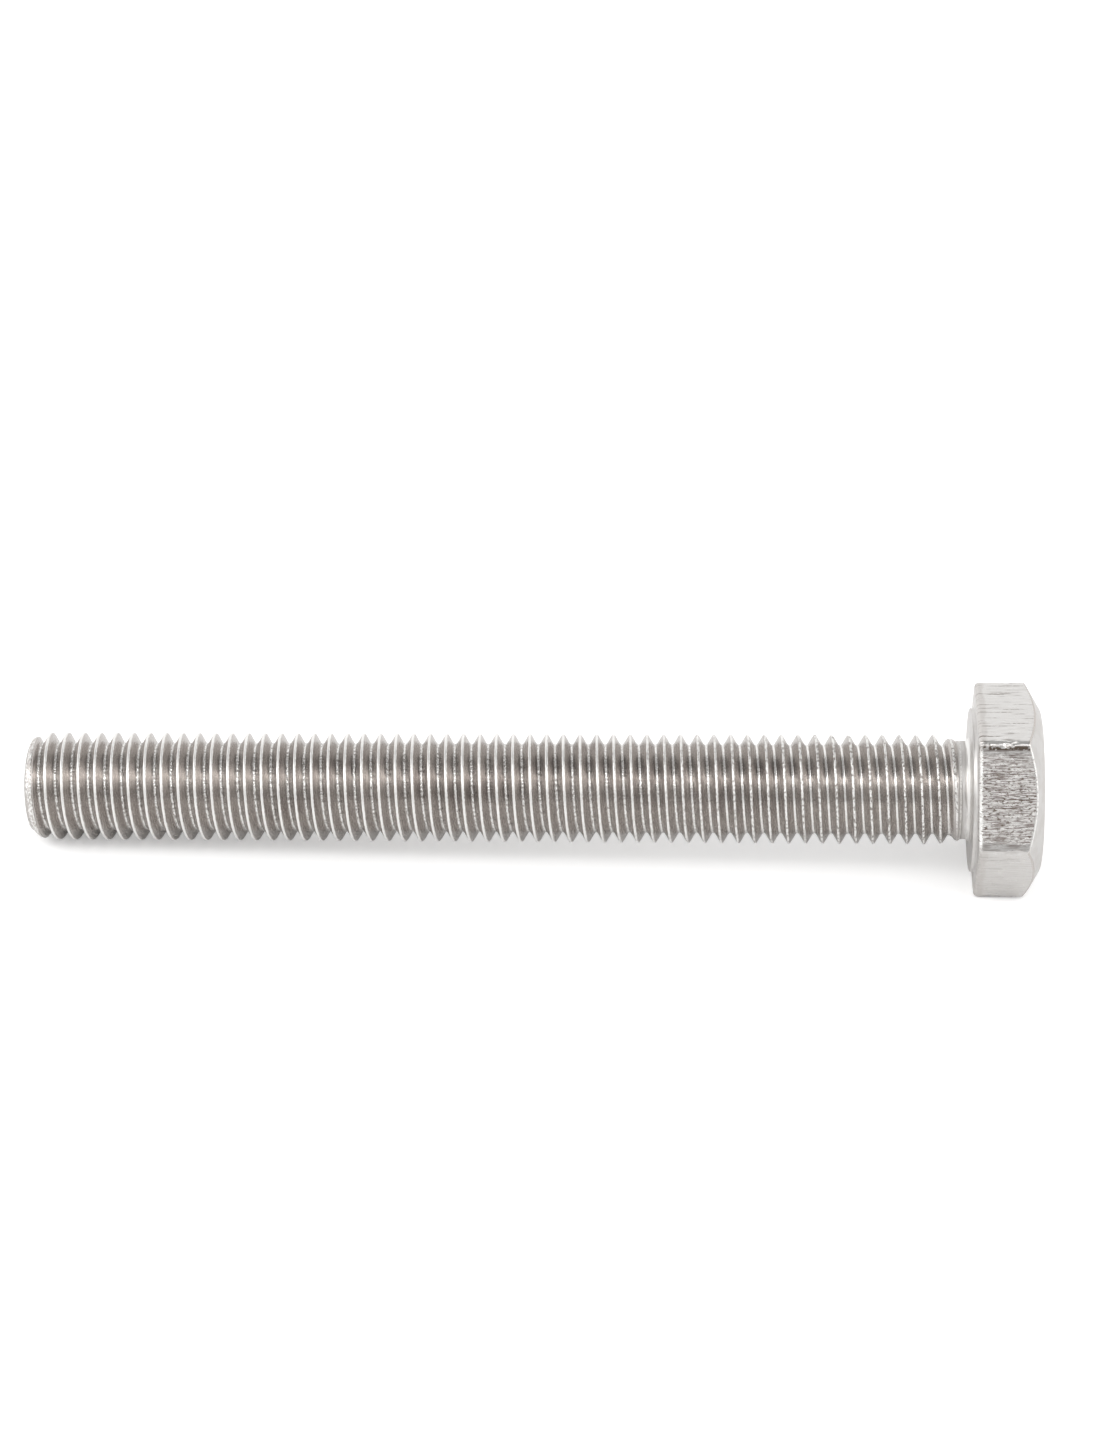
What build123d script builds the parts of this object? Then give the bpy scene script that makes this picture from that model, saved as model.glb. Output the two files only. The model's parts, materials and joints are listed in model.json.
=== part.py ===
from build123d import *

import os
from math import cos, radians, sin, sqrt, tan

# Hex bolt threaded up to its head, M10 x 1.5 x 85, cold-forged and thread-rolled in stainless steel.
# The bolt lies along X. The origin is the centre of the bearing face under the head, the head is on
# the +X side and the tip on the -X side. Two of the head's six flats face +Z and -Z.
# All sizes are in millimetres. The bolt is one piece of metal, so it is one solid.

# Shank
shank_length = 84.4          # bearing face to tip
tip_radius = 4.17            # flat end of the tip
tip_chamfer_angle = 22.7     # from the bolt's axis

# Thread: ISO metric profile, right-handed, with rounded roots
pitch = 1.5
crest_radius = 4.88
flank_angle = 30             # each flank, from a plane across the axis
crest_offset = 0.11          # the crest helix would cross the +Z side this far short of the bearing face
tip_turns = 3                # turns that the tip's chamfer reaches, with one to spare
plain_turns = 51             # full turns between the tip and the run-out
runout_turns = 3             # turns between the last plain one and the bearing face

# Run-out: the crests drop to the blank's radius, then the grooves close into a plain neck
last_full_crest = -2.8
blank_start = -1.85
blank_radius = 4.55
ridge_end = -0.6
ridge_end_radius = 4.2
core_start = -3.35           # here the neck's cone is still buried under the thread's roots
core_start_radius = 3.6
neck_start = -0.8
neck_radius = 4.42
neck_fillet = 0.55

# Head
across_flats = 16.73
corner_radius = 0.6
head_height = 6.2
washer_radius = 7.3
washer_thickness = 0.38
rollover_radius = 0.4        # round on the hexagon's edge next to the washer face
chamfer_angle = 30           # of the top chamfer, from the top face
chamfer_circle = 7.1         # radius at which the chamfer's cone meets the top face
crown_radius = 1.0           # blends the chamfer into the top face

# Sizes that follow from the ones above
profile_height = pitch * sqrt(3) / 2
crest_half_width = pitch / 16
root_half_width = pitch / 8
root_round = profile_height / 6
root_radius = crest_radius - profile_height * 17 / 24
clear_radius = crest_radius + 0.3        # outside every crest
clear_length = pitch                     # past the end of a trimmed stretch
tip_chamfer_end = -shank_length + (clear_radius - tip_radius) / tan(radians(tip_chamfer_angle))
runout_slope = (crest_radius - blank_radius) / (blank_start - last_full_crest)
runout_start = last_full_crest - (clear_radius - crest_radius) / runout_slope
chamfer_drop = (across_flats - chamfer_circle) * tan(radians(chamfer_angle))


def thread_radius(offset):
    """Radius of the thread's surface at an axial offset from a crest's middle, up to one pitch."""
    from_crest = min(offset, pitch - offset)
    from_root = pitch / 2 - from_crest
    if from_root < root_half_width:
        return root_radius + root_round - sqrt(root_round**2 - from_root**2)
    return crest_radius - max(0, from_crest - crest_half_width) / tan(radians(flank_angle))


def section_point(offset):
    """The point of the cross-section whose angle puts it at this axial offset from the crest."""
    angle = radians(90 + 360 * (crest_offset + offset) / pitch)
    return (thread_radius(abs(offset)) * cos(angle), thread_radius(abs(offset)) * sin(angle))


def section_points(first, last, count=9):
    """Evenly spaced points of the cross-section between two axial offsets."""
    return [section_point(first + (last - first) * step / count) for step in range(count + 1)]


def thread_turns(start, turns):
    """Whole turns of threaded rod: a cross-section drawn along X as it turns with the helix."""
    with BuildLine() as rod_axis:
        Line((start, 0, 0), (start + turns * pitch, 0, 0))
    with BuildLine() as crest_helix:
        Helix(pitch, turns * pitch, crest_radius, center=(start, 0, 0), direction=(1, 0, 0))
    with BuildPart() as turned_rod:
        with BuildSketch(Plane.YZ.offset(start)):
            with BuildLine():
                RadiusArc(section_point(crest_half_width), section_point(-crest_half_width), crest_radius)
                Spline(section_points(crest_half_width, pitch / 2 - root_half_width))
                Spline(section_points(pitch / 2 - root_half_width, pitch / 2 + root_half_width))
                Spline(section_points(pitch / 2 + root_half_width, pitch - crest_half_width))
            make_face()
        sweep(path=rod_axis.wire(), binormal=crest_helix.wire())
    return turned_rod.part


# Tip: the end turns, cut off square and chamfered
with BuildPart() as tip:
    add(thread_turns(-(runout_turns + plain_turns + tip_turns) * pitch, tip_turns))
    with BuildSketch(Plane.XZ):
        with BuildLine():
            Polyline(
                (-shank_length, 0),
                (-shank_length, tip_radius),
                (tip_chamfer_end, clear_radius),
                (tip_chamfer_end + tip_turns * pitch, clear_radius),
                (tip_chamfer_end + tip_turns * pitch, 0),
                close=True,
            )
        make_face()
    revolve(axis=Axis.X, mode=Mode.INTERSECT)

# Head: a hexagon with rounded corners, a chamfered crown and a rolled-over lower edge
with BuildPart() as head:
    with BuildSketch(Plane.YZ.offset(washer_thickness)):
        RegularPolygon(radius=across_flats / 2, side_count=6, major_radius=False)
        fillet(vertices(), radius=corner_radius)
    extrude(amount=head_height - washer_thickness)
    fillet(head.faces().sort_by(Axis.X)[0].edges(), radius=rollover_radius)
    with BuildSketch(Plane.XZ):
        with BuildLine():
            Polyline(
                (head_height, chamfer_circle),
                (head_height - chamfer_drop, across_flats),
                (head_height, across_flats),
                close=True,
            )
        make_face()
    revolve(axis=Axis.X, mode=Mode.SUBTRACT)
    fillet(head.faces().sort_by(Axis.X)[-1].edges(), radius=crown_radius)

with BuildPart() as hex_bolt:
    # Run-out: the last turns, with their crests lowered towards the neck
    add(thread_turns(-runout_turns * pitch, runout_turns))
    with BuildSketch(Plane.XZ):
        with BuildLine():
            Polyline(
                (-runout_turns * pitch - clear_length, 0),
                (-runout_turns * pitch - clear_length, clear_radius),
                (runout_start, clear_radius),
                (blank_start, blank_radius),
                (ridge_end, ridge_end_radius),
                (ridge_end, 0),
                close=True,
            )
        make_face()
    revolve(axis=Axis.X, mode=Mode.INTERSECT)

    # Neck, under-head fillet and washer face
    with BuildSketch(Plane.XZ):
        with BuildLine():
            Polyline(
                (-neck_fillet, neck_radius),
                (neck_start, neck_radius),
                (core_start, core_start_radius),
                (core_start, 0),
                (washer_thickness, 0),
                (washer_thickness, washer_radius),
                (0, washer_radius),
                (0, neck_radius + neck_fillet),
            )
            RadiusArc(
                (0, neck_radius + neck_fillet),
                (-neck_fillet, neck_radius),
                neck_fillet,
            )
        make_face()
    revolve(axis=Axis.X)

    # Plain turns, one after another
    first_turn = thread_turns(-(runout_turns + plain_turns) * pitch, 1)
    with Locations(*[(turn * pitch, 0, 0) for turn in range(plain_turns)]):
        add(first_turn)

    add(tip.part)
    add(head.part)

hex_bolt.part.label = "hex_bolt"

os.makedirs("parts", exist_ok=True)
export_step(hex_bolt.part, "parts/hex_bolt.step")
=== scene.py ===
import json
from math import atan, cos, pi, radians, sin, sqrt, tan

import bpy
import numpy as np
from mathutils import Matrix, Vector, noise


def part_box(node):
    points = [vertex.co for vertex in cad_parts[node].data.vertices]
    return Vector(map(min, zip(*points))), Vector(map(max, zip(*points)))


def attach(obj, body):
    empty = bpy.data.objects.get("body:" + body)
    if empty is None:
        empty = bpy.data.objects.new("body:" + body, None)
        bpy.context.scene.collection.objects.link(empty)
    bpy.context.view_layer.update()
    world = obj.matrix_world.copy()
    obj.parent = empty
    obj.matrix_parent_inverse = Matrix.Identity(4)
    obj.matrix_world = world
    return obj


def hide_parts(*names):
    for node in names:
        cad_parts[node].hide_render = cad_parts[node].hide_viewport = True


# A stainless hex bolt, threaded up to its head, lying on a white table. The bolt lies along X, its head
# on the +X side. The shape is worked out in millimetres and written to the mesh in metres.
# An angle "around" the bolt is measured from the -Y side, up towards +Z.

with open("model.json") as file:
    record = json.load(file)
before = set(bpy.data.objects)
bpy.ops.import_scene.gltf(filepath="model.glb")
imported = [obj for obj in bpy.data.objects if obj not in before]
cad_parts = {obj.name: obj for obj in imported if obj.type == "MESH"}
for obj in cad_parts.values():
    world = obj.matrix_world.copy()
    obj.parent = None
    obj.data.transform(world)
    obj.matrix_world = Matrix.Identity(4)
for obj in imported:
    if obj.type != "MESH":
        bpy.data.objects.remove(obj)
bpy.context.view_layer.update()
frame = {"record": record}

MM = 0.001
NODE = "hex_bolt"

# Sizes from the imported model
lowest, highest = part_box(NODE)
thread_mount = next(m for m in frame["record"]["mounts"] if m["name"] == "thread")
shank_length = -lowest.x / MM
head_height = highest.x / MM
apothem = highest.z / MM                     # half of the width across flats
crest_radius = thread_mount["dims"]["r_mm"]

# Thread
pitch = 1.5
crest_offset = 0.11                          # a crest crosses the +Z side this far short of the bearing face
flank_slope = sqrt(3)                        # radial drop per unit of axial travel on a flank
crest_half_width = pitch / 16
crest_edge = 0.045                           # softness of the crest's two edges
root_half_width = pitch / 8
root_round = pitch * sqrt(3) / 12
root_radius = crest_radius - pitch * sqrt(3) * 17 / 48
thread_columns = 72
flank_offsets = (0.055, 0.085, 0.11, 0.15, 0.34, 0.53, 0.6, 0.66)   # mesh rows on either side of a crest

# Tip
tip_radius = 4.17                            # flat end
tip_chamfer_radius = 4.35                    # where the chamfer's cone would meet the end
tip_slope = tan(radians(21))
tip_edge = 0.2                               # length over which the end rounds into the chamfer
tip_dish = 0.12                              # depth of the sheared end's hollow
tip_lip = 0.35                               # width of the flat rim around the hollow
tip_softness = 0.03                          # of the edge between the chamfer and the thread

# Run-out and neck
last_full_crest = -2.8
blank_start, blank_end, blank_radius = -1.85, -1.0, 4.54
ridge_end, ridge_end_radius = -0.6, 4.2
core_start, core_start_radius = -2.2, 3.9
neck_start, neck_radius = -1.1, 4.38
neck_highlight_at = -0.95                             # where a thin ring of painted highlight runs around the neck
neck_fillet = 0.55
runout_softness = 0.02                       # of the edges where the run-out cuts the crests

# Head
washer_radius = 7.3
washer_thickness = 0.38
washer_edge = 0.07                           # rounding of the washer face's rim
corner_radius = 0.6
rollover_radius = 0.4
chamfer_angle = radians(30)
chamfer_circle = 7.1
chamfer_edge = 0.13                          # softness of the edge between a flat and the chamfer
crown_radius = 1.0
flat_columns = 40                            # mesh columns across one flat
corner_columns = 6                           # and around one corner
side_rows = 30                               # mesh rows along the bolt on the flats
round_steps = 6                              # mesh steps over the neck's fillet and the rollover
rim_steps = 3                                # and over the washer face's rim
bearing_face_rings = (5.5, 6.2, 6.8)         # radii of the mesh rings on the bearing face
top_face_rings = (5.6, 4.2, 2.8, 1.4, 0.5)   # and on the top face

# Damage on the head
wave_depth = 0.012                           # of the slow waves on the flats
nick_depth = 0.28                            # of the nicks along the corners
nick_level = 0.12                            # noise level above which there is a nick
nick_reach = 0.5                             # distance from a corner at which the nicks have faded out


# ---------------------------------------------------------------- shape

def smooth_min(a, b, softness):
    """The smaller of two lengths, blended where they are within about the softness of each other."""
    return 0.5 * (a + b - np.sqrt((a - b) ** 2 + softness**2))


def crest_position(around):
    """Where along the bolt the crest nearest the head crosses each angle around it."""
    return pitch * (0.25 - around / (2 * pi)) - crest_offset


def rolled_radius(from_crest):
    """Radius of the rolled thread at an axial distance from the nearest crest's middle."""
    past_edge = from_crest - crest_half_width
    flank = crest_radius - flank_slope * 0.5 * (past_edge + np.sqrt(past_edge**2 + crest_edge**2))
    from_root = np.minimum(pitch / 2 - from_crest, root_half_width)
    root = root_radius + root_round - np.sqrt(root_round**2 - from_root**2)
    return np.where(from_crest > pitch / 2 - root_half_width, root, flank)


def shank_radius(along, around):
    """Radius of the shank's surface, from its tip to the neck."""
    turns = (along - crest_position(around)) / pitch
    thread = rolled_radius(pitch * np.abs(turns - np.round(turns)))
    from_tip = along + shank_length
    rounding = (tip_chamfer_radius - tip_radius) * np.maximum(1 - from_tip / tip_edge, 0) ** 2
    tip_cone = tip_chamfer_radius + from_tip * tip_slope - rounding
    last_crests = np.interp(
        along,
        (last_full_crest, blank_start, blank_end, ridge_end),
        (crest_radius, blank_radius, blank_radius, ridge_end_radius),
    )
    core = np.interp(along, (core_start, neck_start), (core_start_radius, neck_radius))
    thread = smooth_min(thread, tip_cone, tip_softness)
    thread = np.where(along < last_full_crest, thread, smooth_min(thread, last_crests, runout_softness))
    return np.maximum(thread, core)


def hexagon_radius(around, inset):
    """Distance from the axis to the hexagon's rounded outline, moved inwards by the inset."""
    from_flat = np.abs(around % (pi / 3) - pi / 6)
    flat = (apothem - inset) / np.cos(from_flat)
    corner_centre = (apothem - corner_radius) / cos(pi / 6)
    across = corner_centre * np.sin(pi / 6 - from_flat)
    reach = np.sqrt(np.maximum((corner_radius - inset) ** 2 - across**2, 0))
    corner = corner_centre * np.cos(pi / 6 - from_flat) + reach
    flat_end = (apothem - corner_radius) * tan(pi / 6)
    return np.where(flat * np.sin(from_flat) < flat_end, flat, corner)


def ring_points(along, around, radius):
    """Points at places along the bolt, angles around it and distances from its axis."""
    along, around, radius = np.broadcast_arrays(along, around, radius)
    return np.stack([along, -radius * np.cos(around), radius * np.sin(around)], axis=-1).reshape(-1, 3)


def angle_after(angles, taken):
    """The angle that the next step around a ring reaches, after a number of steps already taken."""
    if taken + 1 < len(angles):
        return angles[taken + 1]
    if taken < len(angles):
        return 2 * pi
    return 4 * pi                            # this ring is closed, so the other ring's steps come first


class Skin:
    """Collects the bolt's surface as vertices and faces, and each face's material."""

    def __init__(self):
        self.points = []
        self.faces = []
        self.finishes = []

    def add_points(self, points):
        """Adds points and returns their numbers."""
        first = len(self.points)
        self.points.extend(points)
        return np.arange(first, len(self.points))

    def add_face(self, corners, finish):
        """Adds a face, dropping corners that have merged into one."""
        kept = [c for n, c in enumerate(corners) if c != corners[n - 1]]
        if len(kept) > 2:
            self.faces.append([int(c) for c in kept])
            self.finishes.append(finish)

    def join_rings(self, ring, next_ring, finish):
        """Joins two rings with the same number of points. The second is further along the surface."""
        for n in range(len(ring)):
            after = (n + 1) % len(ring)
            self.add_face((ring[n], next_ring[n], next_ring[after], ring[after]), finish)

    def bridge_rings(self, ring, angles, next_ring, next_angles, finish):
        """Joins two rings with different numbers of points, always taking the shorter step around."""
        n, m = 0, 0
        while n < len(ring) or m < len(next_ring):
            here, there = ring[n % len(ring)], next_ring[m % len(next_ring)]
            if angle_after(angles, n) <= angle_after(next_angles, m):
                n += 1
                self.add_face((here, there, ring[n % len(ring)]), finish)
            else:
                m += 1
                self.add_face((here, there, next_ring[m % len(next_ring)]), finish)


def add_thread(skin, around):
    """Adds the threaded shank as a grid that follows the helix. Returns its end rings: tip and neck."""
    offsets = sorted([0, pitch / 2] + [side * o for o in flank_offsets for side in (1, -1)])
    rows_per_turn = len(offsets)
    turns = range(-int(shank_length / pitch) - 3, 3)
    rows = np.array([turn * pitch + offset for turn in turns for offset in offsets])
    along = rows[:, None] + crest_position(around)[None, :]
    angles = np.broadcast_to(around, along.shape)

    tip_ring = skin.add_points(ring_points(-shank_length, around, shank_radius(-shank_length, around)))
    neck_ring = skin.add_points(ring_points(ridge_end, around, neck_radius))
    clear = 0.01                             # rows this near an end merge with it
    inside = (along > -shank_length + clear) & (along < ridge_end - clear)
    numbers = np.where(along < ridge_end - clear, tip_ring[None, :], neck_ring[None, :])
    radius = shank_radius(along[inside], angles[inside])
    numbers[inside] = skin.add_points(ring_points(along[inside], angles[inside], radius))

    # One column past the last is the first column again, one turn further along
    again = np.concatenate([np.full(rows_per_turn, tip_ring[0]), numbers[:-rows_per_turn, 0]])
    numbers = np.column_stack([numbers, again])
    for row, next_row in zip(numbers[:-1], numbers[1:]):
        for n in range(len(around)):
            skin.add_face((row[n], next_row[n], next_row[n + 1], row[n + 1]), "thread")
    return tip_ring, neck_ring


def add_tip_face(skin, tip_ring, around):
    """Closes the tip with a flat rim and a shallow hollow, as the sheared end of the wire has."""
    ring = tip_ring
    for share in (0, 0.25, 0.55, 0.85):
        radius = (tip_radius - tip_lip) * (1 - share)
        depth = tip_dish * sin(share * pi / 2)
        inner = skin.add_points(ring_points(-shank_length + depth, around, radius))
        skin.join_rings(inner, ring, "end")
        ring = inner
    centre = skin.add_points([(-shank_length + tip_dish, 0, 0)])[0]
    for n in range(len(ring)):
        skin.add_face((centre, ring[n], ring[(n + 1) % len(ring)]), "end")


def add_neck_and_washer_face(skin, neck_ring, around):
    """Adds the neck, its fillet, the bearing face and the washer face's rim. Returns the last ring."""
    profile = [(-neck_fillet, neck_radius)]
    for step in range(1, round_steps + 1):
        turn = step / round_steps * pi / 2
        profile.append((-neck_fillet * (1 - sin(turn)), neck_radius + neck_fillet * (1 - cos(turn))))
    profile += [(0, radius) for radius in (*bearing_face_rings, washer_radius - washer_edge)]
    for step in range(1, rim_steps + 1):
        turn = step / rim_steps * pi / 2
        profile.append((washer_edge * (1 - cos(turn)), washer_radius - washer_edge * (1 - sin(turn))))
    profile.append((washer_thickness, washer_radius))
    ring = neck_ring
    for along, radius in profile:
        next_ring = skin.add_points(ring_points(along, around, radius))
        skin.join_rings(ring, next_ring, "turned")
        ring = next_ring
    return ring


def head_columns():
    """Angles of the head's mesh columns, closer together around the corners."""
    flat_end = atan((apothem - corner_radius) * tan(pi / 6) / apothem)
    flat = np.linspace(-flat_end, flat_end, flat_columns + 1)
    corner = np.linspace(flat_end, pi / 3 - flat_end, corner_columns + 1)[1:-1]
    sector = np.concatenate([flat, corner])
    columns = np.concatenate([sector + pi / 6 + side * pi / 3 for side in range(6)])
    return np.sort(columns % (2 * pi))


def chamfer_height(radius):
    """Where along the bolt the head's chamfer lies, at a distance from the axis."""
    return head_height - (radius - chamfer_circle) * tan(chamfer_angle)


def head_rows(around):
    """The head's rings, from its lower edge over the flats and the chamfer to the top face."""
    rows = []
    for step in range(round_steps + 1):
        turn = step / round_steps * pi / 2
        inset = rollover_radius * (1 - sin(turn))
        along = washer_thickness + rollover_radius * (1 - cos(turn))
        rows.append((along, hexagon_radius(around, inset), "flat"))
    outline = hexagon_radius(around, 0)
    edge = chamfer_height(outline)
    side_start = washer_thickness + rollover_radius
    for step in range(1, side_rows + 1):
        share = step / side_rows
        rows.append((side_start + (edge - chamfer_edge - side_start) * share, outline, "flat"))
    for share in (0.25, 0.5, 0.75, 1):
        back = chamfer_edge * (1 - share) ** 2
        over = chamfer_edge * share**2
        rows.append((edge - back + over * sin(chamfer_angle), outline - over * cos(chamfer_angle), "edge"))
    crown_start = chamfer_circle + crown_radius * (sin(chamfer_angle) - tan(chamfer_angle / 2))
    edge_end = outline - chamfer_edge * cos(chamfer_angle)
    for share in (0.2, 0.4, 0.6, 0.8, 1):
        radius = edge_end + (crown_start - edge_end) * share
        rows.append((chamfer_height(radius), radius, "turned"))
    crown_centre = crown_start - crown_radius * sin(chamfer_angle)
    for share in (0.25, 0.5, 0.75, 1):
        turn = chamfer_angle * (1 - share)
        along = head_height - crown_radius * (1 - cos(turn))
        rows.append((along, crown_centre + crown_radius * sin(turn), "turned"))
    for radius in top_face_rings:
        rows.append((head_height, radius, "turned"))
    return rows


def dents(along, around, radius):
    """How far small dents and burrs move each point of the head, towards the axis."""
    moved = np.zeros(along.shape)
    for n, (x, angle, r) in enumerate(zip(along, around, radius)):
        y, z = r * cos(angle), r * sin(angle)
        from_corner = abs((angle + pi / 6) % (pi / 3) - pi / 6) * r
        wave = noise.noise((x * 0.5, y * 0.4, z * 0.4))
        gouge = noise.noise((x * 2.2, y * 5, z * 5))
        corner_share = max(0, 1 - from_corner / nick_reach)
        moved[n] = wave_depth * wave + corner_share * max(0, gouge - nick_level) * nick_depth
    return moved


def add_head(skin, washer_ring, washer_angles):
    """Adds the hexagon with its lower edge, chamfer, crown and top face."""
    around = head_columns()
    ring = None
    for along, radius, finish in head_rows(around):
        along, radius = np.broadcast_to(along, around.shape), np.broadcast_to(radius, around.shape)
        if finish in ("flat", "edge"):
            radius = radius - dents(along, around, radius)
        next_ring = skin.add_points(ring_points(along, around, radius))
        if ring is None:
            skin.bridge_rings(washer_ring, washer_angles, next_ring, around, "turned")
        else:
            skin.join_rings(ring, next_ring, finish)
        ring = next_ring
    centre = skin.add_points([(head_height, 0, 0)])[0]
    for n in range(len(ring)):
        skin.add_face((centre, ring[(n + 1) % len(ring)], ring[n]), "turned")


# ---------------------------------------------------------------- materials

class Shader:
    """A material's or the world's node tree, with short calls for the nodes used here."""

    def __init__(self, name="", tree=None):
        if tree is None:
            self.material = bpy.data.materials.new(name)
            self.material.use_nodes = True
            tree = self.material.node_tree
        self.tree = tree
        self.surface = tree.nodes.get("Principled BSDF")

    def node(self, kind, inputs, **settings):
        """Adds a node and sets or links its inputs, given by name or number."""
        made = self.tree.nodes.new(kind)
        for setting, value in settings.items():
            setattr(made, setting, value)
        for key, value in inputs.items():
            self.feed(made.inputs[key], value)
        return made

    def feed(self, socket, value):
        """Sets an input to a value, or links it to another node's output."""
        if isinstance(value, bpy.types.NodeSocket):
            self.tree.links.new(value, socket)
        else:
            socket.default_value = value

    def math(self, operation, a, b=0.0):
        """Works out one number from one or two others."""
        return self.node("ShaderNodeMath", {0: a, 1: b}, operation=operation).outputs[0]

    def times(self, first, *others):
        """Multiplies any number of values."""
        product = first
        for value in others:
            product = self.math("MULTIPLY", product, value)
        return product

    def ragged(self, value, pattern, amount):
        """Moves a value up and down with a noise pattern, by up to half the amount."""
        return self.math("ADD", value, self.times(self.math("SUBTRACT", pattern, 0.5), amount))

    def ramp(self, value, low, high, to_low=0.0, to_high=1.0):
        """Maps a value smoothly from one range to another, and holds it at the ends."""
        inputs = {"Value": value, 1: low, 2: high, 3: to_low, 4: to_high}
        return self.node("ShaderNodeMapRange", inputs, interpolation_type="SMOOTHSTEP").outputs[0]

    def mix(self, share, a, b):
        """Mixes two colours."""
        inputs = {0: share, 6: a, 7: b}
        return self.node("ShaderNodeMix", inputs, data_type="RGBA").outputs[2]

    def paint(self, colour, *layers):
        """Lays more colours over a colour. Each layer is a share and its colour."""
        for share, layer_colour in layers:
            colour = self.mix(share, colour, layer_colour)
        return colour

    def place(self, size):
        """Place along the bolt, angle around it, distance around a cylinder of a given radius, and distance
        from the axis. The lengths are in millimetres."""
        here = self.node("ShaderNodeTexCoord", {}).outputs["Object"]
        x, y, z = self.node("ShaderNodeSeparateXYZ", {0: here}).outputs
        square = self.math("ADD", self.times(y, y), self.times(z, z))
        radius = self.math("DIVIDE", self.math("SQRT", square), MM)
        angle = self.math("ARCTAN2", z, self.times(y, -1.0))
        return self.math("DIVIDE", x, MM), angle, self.times(angle, size), radius

    def grain(self, along, around, radius, scales, detail=3.0, seed=0.0):
        """Noise with its own scale in each direction, in cycles per millimetre."""
        scaled = [self.times(v, s) for v, s in zip((along, around, radius), scales)]
        scaled[2] = self.math("ADD", scaled[2], seed)
        vector = self.node("ShaderNodeCombineXYZ", dict(enumerate(scaled))).outputs[0]
        inputs = {"Vector": vector, "Scale": 1.0, "Detail": detail, "Roughness": 0.6}
        return self.node("ShaderNodeTexNoise", inputs).outputs[0]

    def bump(self, height, depth, under=None):
        """Raises the surface by a height pattern, with its depth in millimetres."""
        inputs = {"Height": height, "Strength": 1.0, "Distance": depth * MM}
        if under is not None:
            inputs["Normal"] = under
        return self.node("ShaderNodeBump", inputs).outputs[0]

    def metal(self, colour, roughness, normal):
        """Finishes the material as bare metal."""
        self.feed(self.surface.inputs["Metallic"], 1.0)
        self.feed(self.surface.inputs["Base Color"], colour)
        self.feed(self.surface.inputs["Roughness"], roughness)
        self.feed(self.surface.inputs["Normal"], normal)
        return self.material


# The metal's colours, from its brightest spots down to the dirt in its pits. The brightest is also used to
# paint highlights.
POLISHED_AND_HIGHLIGHT = (0.9, 0.89, 0.87, 1)
BRIGHT = (0.67, 0.655, 0.64, 1)
STEEL = (0.62, 0.6, 0.58, 1)
WARM = (0.54, 0.51, 0.485, 1)
BURNISHED = (0.48, 0.45, 0.43, 1)
TORN = (0.3, 0.268, 0.254, 1)
DIRT = (0.14, 0.11, 0.09, 1)


def distance_from_crest(shader, along, angle):
    """Axial distance from the middle of the nearest crest, in millimetres."""
    turns = shader.math("DIVIDE", shader.math("ADD", along, crest_offset - pitch / 4), pitch)
    turns = shader.math("ADD", turns, shader.math("DIVIDE", angle, 2 * pi))
    off = shader.math("SUBTRACT", turns, shader.math("ROUND", turns))
    return shader.times(shader.math("ABSOLUTE", off), pitch)


def on_tip_chamfer(shader, along, radius):
    """1 on the cone of the tip's chamfer, and 0 on the thread below it."""
    cone = shader.times(shader.math("ADD", along, shank_length), tip_slope)
    depth = shader.math("SUBTRACT", shader.math("ADD", cone, tip_chamfer_radius), radius)
    return shader.ramp(depth, 0.04, 0.1, 1.0, 0.0)


def neck_ridges(shader, along, around, radius):
    """Fine ridges around the neck and its fillet."""
    on_neck = shader.ramp(along, neck_start - 0.2, neck_start)
    below_head = shader.ramp(along, 0.0, washer_thickness, 1.0, 0.0)
    off_face = shader.ramp(radius, neck_radius + 0.6 * neck_fillet, neck_radius + neck_fillet, 1.0, 0.0)
    ridges = shader.grain(along, around, radius, (4.5, 0.1, 4.5), 3.0, 52.0)
    return shader.times(shader.ramp(ridges, 0.48, 0.58, 0.0, 0.75), on_neck, below_head, off_face)


def painted_neck_highlight(shader, along, fine):
    """A thin broken ring of painted highlight around the neck."""
    from_line = shader.math("ABSOLUTE", shader.math("SUBTRACT", along, neck_highlight_at))
    return shader.times(shader.ramp(from_line, 0.04, 0.09, 1.0, 0.0), shader.ramp(fine, 0.4, 0.5))


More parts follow.
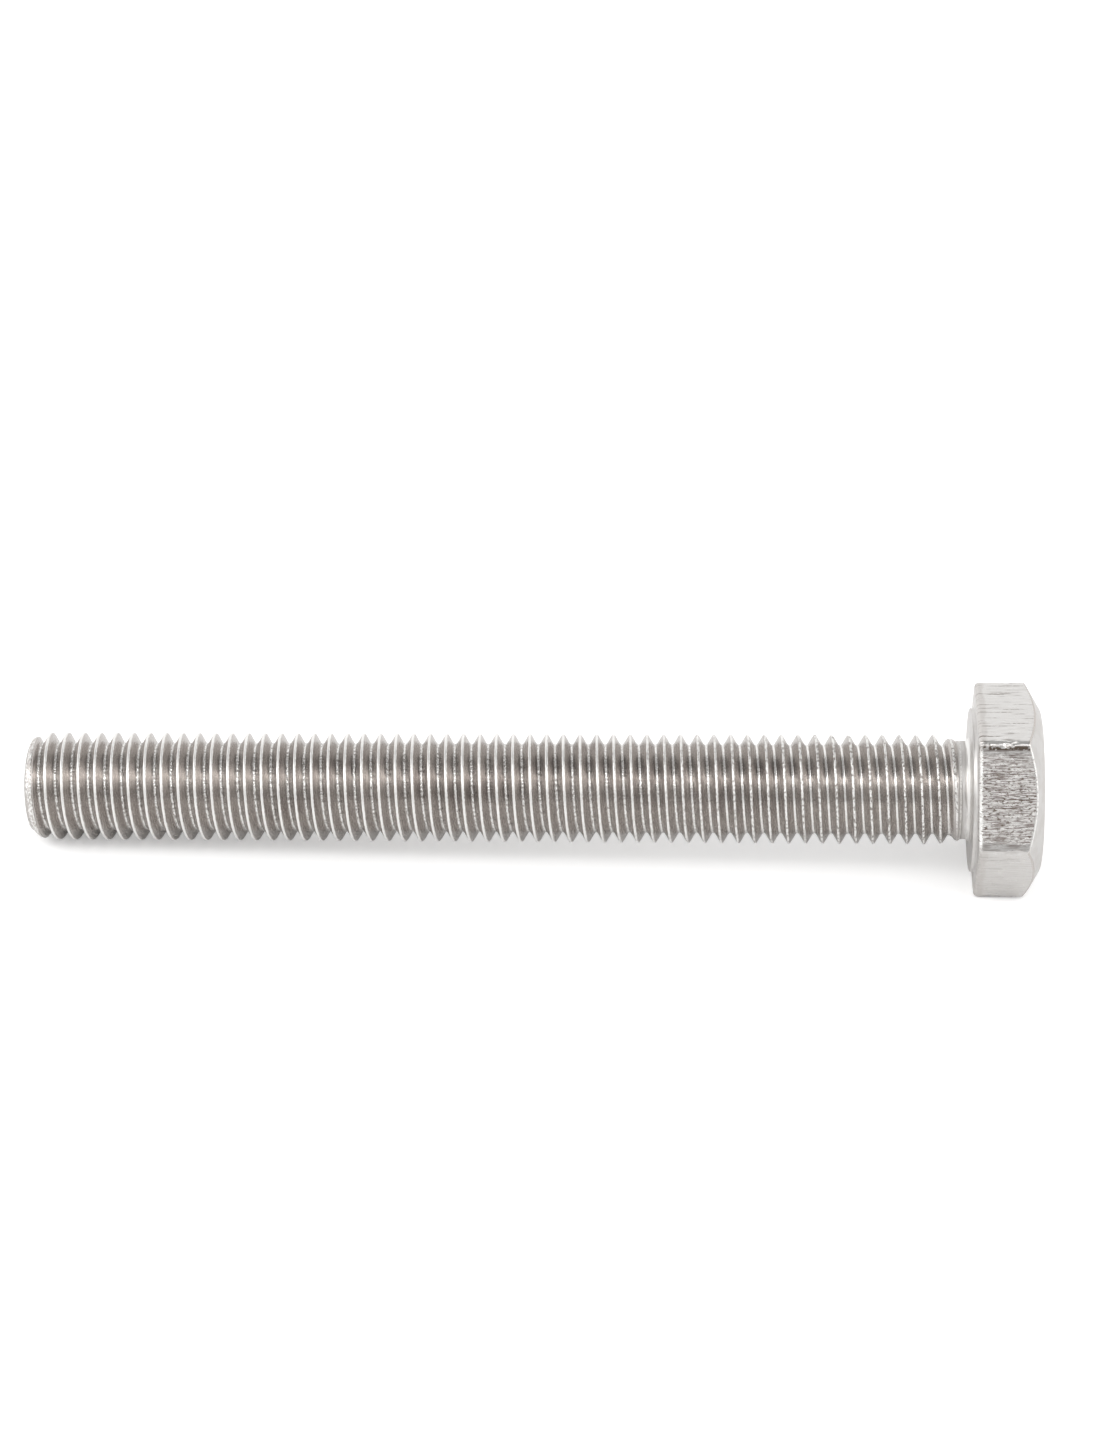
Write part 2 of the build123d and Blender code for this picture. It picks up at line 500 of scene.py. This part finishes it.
def thread_material():
    """Rolled thread: burnished flanks, and crests and roots painted near white as a painted highlight, both
    speckled with small pits.
    """
    shader = Shader("rolled_thread")
    along, angle, around, radius = shader.place(crest_radius)
    rolling = shader.grain(along, around, radius, (3.0, 0.7, 9.0), 4.0)
    fine = shader.grain(along, around, radius, (9.0, 6.0, 9.0), 2.0, 60.0)
    speckle = shader.grain(along, around, radius, (5.0, 3.5, 5.0), 2.0, 40.0)
    stains = shader.grain(along, around, radius, (0.07, 0.12, 0.5), 2.0, 85.0)

    from_crest = shader.ragged(distance_from_crest(shader, along, angle), fine, 0.18)
    # on_crest and deep mark the crests and the roots, which are painted near white as a painted highlight
    on_crest = shader.ramp(from_crest, 0.08, 0.14, 1.0, 0.0)
    deep = shader.ramp(from_crest, pitch / 2 - 0.11, pitch / 2 - 0.05, 0.0, 0.9)
    chamfered = on_tip_chamfer(shader, along, radius)
    forged = shader.ramp(along, neck_start - 0.15, neck_start)
    ridges = neck_ridges(shader, along, around, radius)

    # Pits lie in the roots towards the tip, and on the crests towards the head
    to_head = shader.ramp(along, -0.5 * shank_length, -0.1 * shank_length)
    to_tip = shader.math("SUBTRACT", 1.0, to_head)
    pitted = shader.math("MAXIMUM", shader.times(deep, to_tip), shader.times(on_crest, to_head))

    colour = shader.paint(
        shader.mix(shader.ramp(rolling, 0.35, 0.7), BURNISHED, WARM),
        (shader.ramp(stains, 0.54, 0.7, 0.0, 0.5), TORN),
        # painted highlight: the crests and the roots are painted near white
        (on_crest, POLISHED_AND_HIGHLIGHT),
        (deep, POLISHED_AND_HIGHLIGHT),
        (shader.times(pitted, shader.ramp(speckle, 0.5, 0.62, 0.0, 0.75)), DIRT),
        (chamfered, shader.mix(shader.ramp(speckle, 0.4, 0.6), POLISHED_AND_HIGHLIGHT, WARM)),
        (forged, BRIGHT),
        (ridges, WARM),
        # painted highlight: a thin broken ring around the neck
        (painted_neck_highlight(shader, along, fine), POLISHED_AND_HIGHLIGHT),
    )
    roughness = shader.ramp(rolling, 0.3, 0.7, 0.2, 0.3)
    roughness = shader.math("ADD", roughness, shader.times(on_crest, 0.14))
    roughness = shader.math("ADD", roughness, shader.times(forged, 0.3))
    speckled = shader.times(shader.math("MAXIMUM", pitted, chamfered), speckle)
    normal = shader.bump(speckled, 0.08, shader.bump(rolling, 0.02))
    return shader.metal(colour, roughness, shader.bump(ridges, 0.06, normal))


def torn_side(shader, angle, low=-0.1, high=0.3):
    """1 on every other side of the hexagon, which the trimming die tore and pitted, and 0 on the rest."""
    from_torn = shader.times(shader.math("SUBTRACT", angle, pi / 6), 3.0)
    return shader.ramp(shader.math("COSINE", from_torn), low, high)


def rubbed_band(shader, along, torn, patches):
    """A duller band next to the lower edge of the smooth sides."""
    band = shader.ramp(shader.math("ADD", along, patches), 1.5, 1.8, 0.5, 0.0)
    return shader.times(shader.math("SUBTRACT", 1.0, torn), band)


def corner_dirt(shader, along, angle, around, radius):
    """Dashes of dirt along the corner between the top side and the torn side next to it."""
    from_corner = shader.math("ABSOLUTE", shader.math("SUBTRACT", angle, pi / 3 - 0.045))
    dashes = shader.ramp(shader.grain(along, around, radius, (1.6, 3.0, 0.0), 3.0, 71.0), 0.42, 0.5)
    return shader.times(shader.ramp(from_corner, 0.012, 0.025, 1.0, 0.0), dashes)


def lip_highlight(shader, along, torn, tears):
    """A painted highlight along the rounded lower edge of the torn sides, broken into ragged stretches."""
    flat_start = washer_thickness + rollover_radius
    edge = shader.ragged(along, tears, 0.7)
    lip = shader.ramp(edge, flat_start - 0.3 * rollover_radius, flat_start, 1.0, 0.0)
    return shader.times(lip, torn, shader.ramp(tears, 0.36, 0.46))


def flat_material():
    """Wrench flats: satin and scratched along the bolt, every other one torn and pitted, with painted light
    on the sides that face upwards.
    """
    shader = Shader("trimmed_flat")
    along, angle, around, radius = shader.place(apothem)
    patches = shader.grain(along, around, radius, (0.35, 0.35, 0.35), 2.0, 11.0)
    scratches = shader.grain(along, around, radius, (0.7, 7.0, 0.0), 5.0)
    gouges = shader.grain(along, around, radius, (0.22, 5.5, 0.0), 2.0, 90.0)
    tears = shader.grain(along, around, radius, (2.6, 8.0, 0.0), 5.0, 23.0)

    height = shader.math("SINE", angle)
    torn = torn_side(shader, angle)
    inside_torn = torn_side(shader, angle, 0.1, 0.45)
    pitted = shader.times(inside_torn, shader.ramp(patches, 0.3, 0.6, 0.45, 1.0))
    pits = shader.times(shader.ramp(tears, 0.52, 0.6), pitted)

    # Long scratches, dark on the torn and upper sides and faint on the lower smooth ones
    lines = shader.times(
        shader.ramp(gouges, 0.58, 0.64),
        shader.ramp(tears, 0.4, 0.5, 0.3, 1.0),
        shader.math("MAXIMUM", shader.ramp(height, -0.5, 0.5, 0.15, 0.8), pitted),
    )
    colour = shader.paint(
        shader.mix(shader.ramp(scratches, 0.38, 0.62), STEEL, BRIGHT),
        # painted light: the sides that face upwards are painted lighter
        (shader.ramp(height, 0.6, 0.85, 0.0, 0.3), POLISHED_AND_HIGHLIGHT),
        (torn, shader.mix(shader.ramp(scratches, 0.4, 0.56), TORN, BRIGHT)),
        (rubbed_band(shader, along, torn, patches), WARM),
        (shader.math("MAXIMUM", pits, lines), DIRT),
        (corner_dirt(shader, along, angle, around, radius), DIRT),
        # painted highlight along the rounded lower edge of the torn sides
        (lip_highlight(shader, along, torn, tears), POLISHED_AND_HIGHLIGHT),
    )
    roughness = shader.ramp(scratches, 0.3, 0.7, 0.36, 0.26)
    normal = shader.bump(shader.times(tears, pitted), -0.14, shader.bump(scratches, 0.02))
    return shader.metal(colour, roughness, normal)


def turned_material():
    """Chamfer, top face, washer face and fillet: satin with faint circular marks, and a painted highlight
    along the fillet.
    """
    shader = Shader("turned_face")
    along, _, around, radius = shader.place(washer_radius)
    rings = shader.grain(along, around, radius, (6.0, 0.25, 6.0), 3.0, 3.0)
    patches = shader.grain(along, around, radius, (0.8, 0.8, 0.8), 3.0, 31.0)
    ridges = neck_ridges(shader, along, around, radius)
    # painted highlight: a band along the neck's fillet is painted near white
    fillet_highlight = shader.times(
        shader.ramp(along, -0.9 * neck_fillet, -0.6 * neck_fillet),
        shader.ramp(along, -0.4 * neck_fillet, 0.0, 1.0, 0.0),
    )
    colour = shader.paint(
        shader.mix(shader.ramp(patches, 0.35, 0.65), STEEL, BRIGHT),
        (ridges, WARM),
        (fillet_highlight, POLISHED_AND_HIGHLIGHT),
    )
    normal = shader.bump(ridges, 0.06, shader.bump(rings, 0.006))
    return shader.metal(colour, shader.ramp(rings, 0.3, 0.7, 0.34, 0.46), normal)


def edge_material():
    """The worn edge between a flat and the chamfer, with fine nicks, and a painted highlight on the torn
    sides.
    """
    shader = Shader("worn_edge_and_highlight")
    along, angle, around, radius = shader.place(apothem)
    nicks = shader.grain(along, around, radius, (3.0, 3.0, 3.0), 3.0, 5.0)
    # painted highlight: on the torn sides the edge is painted near white, broken by nicks
    nicked_highlight = shader.mix(shader.ramp(nicks, 0.3, 0.5), STEEL, POLISHED_AND_HIGHLIGHT)
    colour = shader.mix(torn_side(shader, angle), WARM, nicked_highlight)
    return shader.metal(colour, shader.ramp(nicks, 0.3, 0.7, 0.16, 0.26), shader.bump(nicks, 0.02))


def end_material():
    """The sheared end of the wire: dull, with coarse tear marks."""
    shader = Shader("sheared_end")
    along, _, around, radius = shader.place(tip_radius)
    tears = shader.grain(along, around, radius, (1.0, 1.6, 1.6), 5.0, 17.0)
    colour = shader.mix(shader.ramp(tears, 0.35, 0.65), WARM, STEEL)
    return shader.metal(colour, shader.ramp(tears, 0.3, 0.7, 0.34, 0.5), shader.bump(tears, 0.05))


# ---------------------------------------------------------------- the bolt

def make_bolt():
    """Builds the bolt as one closed mesh that stands for the CAD node."""
    skin = Skin()
    around = np.arange(thread_columns) * 2 * pi / thread_columns
    tip_ring, neck_ring = add_thread(skin, around)
    add_tip_face(skin, tip_ring, around)
    washer_ring = add_neck_and_washer_face(skin, neck_ring, around)
    add_head(skin, washer_ring, around)

    mesh = bpy.data.meshes.new("bolt_body")
    mesh.from_pydata(np.array(skin.points) * MM, [], skin.faces)
    finishes = {
        "thread": thread_material(),
        "flat": flat_material(),
        "turned": turned_material(),
        "edge": edge_material(),
        "end": end_material(),
    }
    for material in finishes.values():
        mesh.materials.append(material)
    order = list(finishes)
    mesh.polygons.foreach_set("material_index", [order.index(finish) for finish in skin.finishes])
    mesh.polygons.foreach_set("use_smooth", [True] * len(mesh.polygons))
    mesh.validate()

    bolt = bpy.data.objects.new("bolt_body", mesh)
    bpy.context.scene.collection.objects.link(bolt)
    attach(bolt, "root")
    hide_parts(NODE)


# ---------------------------------------------------------------- stage, light and camera

def make_floor():
    """A white table that touches the head's lower edge and the thread next to the tip."""
    head_contact = Vector((washer_thickness + rollover_radius / 2, 0, -apothem))
    chamfer_end = (crest_radius - tip_chamfer_radius) / tip_slope - shank_length
    tip_contact = Vector((chamfer_end, 0, -crest_radius))
    tilt = atan((tip_contact.z - head_contact.z) / (head_contact.x - tip_contact.x))
    half = 2.0
    overexposure = 0.27                      # extra brightness that only the camera sees
    mesh = bpy.data.meshes.new("table")
    corners = [(-half, -half, 0), (half, -half, 0), (half, half, 0), (-half, half, 0)]
    mesh.from_pydata(corners, [], [(0, 1, 2, 3)])
    table = bpy.data.objects.new("table", mesh)
    table.matrix_world = Matrix.Translation(head_contact * MM) @ Matrix.Rotation(tilt, 4, "Y")
    bpy.context.scene.collection.objects.link(table)
    shader = Shader("white_table")
    fine = shader.node("ShaderNodeTexNoise", {"Scale": 400.0, "Detail": 2.0}).outputs[0]
    white = shader.mix(fine, (0.9, 0.9, 0.9, 1), (0.93, 0.93, 0.93, 1))
    shader.feed(shader.surface.inputs["Base Color"], white)
    shader.feed(shader.surface.inputs["Roughness"], 0.8)
    shader.feed(shader.surface.inputs["Specular IOR Level"], 0.1)
    shader.feed(shader.surface.inputs["Emission Color"], (1, 1, 1, 1))
    seen = shader.node("ShaderNodeLightPath", {}).outputs["Is Camera Ray"]
    shader.feed(shader.surface.inputs["Emission Strength"], shader.math("MULTIPLY", seen, overexposure))
    mesh.materials.append(shader.material)


def toward(azimuth, elevation):
    """A direction away from the bolt. Azimuth 0 is the -Y side and 90 the +X side."""
    a, e = radians(azimuth), radians(elevation)
    return Vector((sin(a) * cos(e), -cos(a) * cos(e), sin(e)))


def add_softbox(name, direction, distance, width, height, radiance):
    """A rectangular lamp that faces the middle of the bolt."""
    lamp = bpy.data.lights.new(name, "AREA")
    lamp.shape = "RECTANGLE"
    lamp.size, lamp.size_y = width, height
    lamp.energy = radiance * pi * width * height
    softbox = bpy.data.objects.new(name, lamp)
    bpy.context.scene.collection.objects.link(softbox)
    middle = Vector((-shank_length / 2, 0, 0)) * MM
    facing = (-direction).to_track_quat("-Z", "Y").to_matrix().to_4x4()
    softbox.matrix_world = Matrix.Translation(middle + direction * distance) @ facing
    return softbox


STUDIO = 1.12                    # brightness of the studio all round

# Parts of the studio that are brighter or darker than the rest: azimuth and elevation of the middle,
# the angles from it at which the change is full and at which it ends, and the change in brightness
PATCHES = (
    (0, 25, 15, 75, -0.5),       # the camera's side
    (180, 85, 31, 43, -0.7),     # the ceiling
    (-60, 45, 15, 32, 1.2),      # left softbox
    (65, 40, 14, 28, 0.9),       # right softbox
)


def make_world():
    """A bright studio all round, with two softboxes and a darker side and ceiling."""
    world = bpy.data.worlds.new("studio")
    world.use_nodes = True
    bpy.context.scene.world = world
    shader = Shader(tree=world.node_tree)
    direction = shader.node("ShaderNodeTexCoord", {}).outputs["Generated"]
    brightness = STUDIO
    for azimuth, elevation, inner, outer, change in PATCHES:
        inputs = {0: direction, 1: toward(azimuth, elevation)}
        facing = shader.node("ShaderNodeVectorMath", inputs, operation="DOT_PRODUCT").outputs["Value"]
        patch = shader.ramp(facing, cos(radians(outer)), cos(radians(inner)), 0.0, change)
        brightness = shader.math("ADD", patch, brightness)
    seen = shader.node("ShaderNodeLightPath", {}).outputs["Is Camera Ray"]
    brightness = shader.math("MAXIMUM", brightness, seen)
    shader.feed(world.node_tree.nodes["Background"].inputs["Strength"], brightness)
    shader.feed(world.node_tree.nodes["Background"].inputs["Color"], (1, 1, 1, 1))


def make_camera():
    """The camera, above and in front of the bolt, nearer to its head than to its tip."""
    lens = 84.3
    distance = 303.9
    along = -16.8
    elevation, yaw, pitch_up, roll = (radians(v) for v in (34.94, 3.892, 1.09, 0.251))
    camera = bpy.data.objects.new("camera", bpy.data.cameras.new("camera"))
    camera.data.lens = lens
    camera.data.clip_start = 0.01
    bpy.context.scene.collection.objects.link(camera)
    place = Vector((along, -distance * cos(elevation), distance * sin(elevation))) * MM
    turn = Matrix.Rotation(pi / 2 - elevation, 4, "X") @ Matrix.Rotation(yaw, 4, "Y")
    turn = turn @ Matrix.Rotation(pitch_up, 4, "X") @ Matrix.Rotation(roll, 4, "Z")
    camera.matrix_world = Matrix.Translation(place) @ turn
    bpy.context.scene.camera = camera


make_bolt()
make_floor()
make_world()
add_softbox("key", toward(-10, 60), distance=0.6, width=1.0, height=0.08, radiance=4.0)
table_light = add_softbox("table_light", toward(0, 60), distance=0.8, width=0.6, height=0.6, radiance=0.7)
table_light.visible_glossy = False           # it only brightens the table
make_camera()
bpy.context.scene.view_settings.view_transform = "Standard"
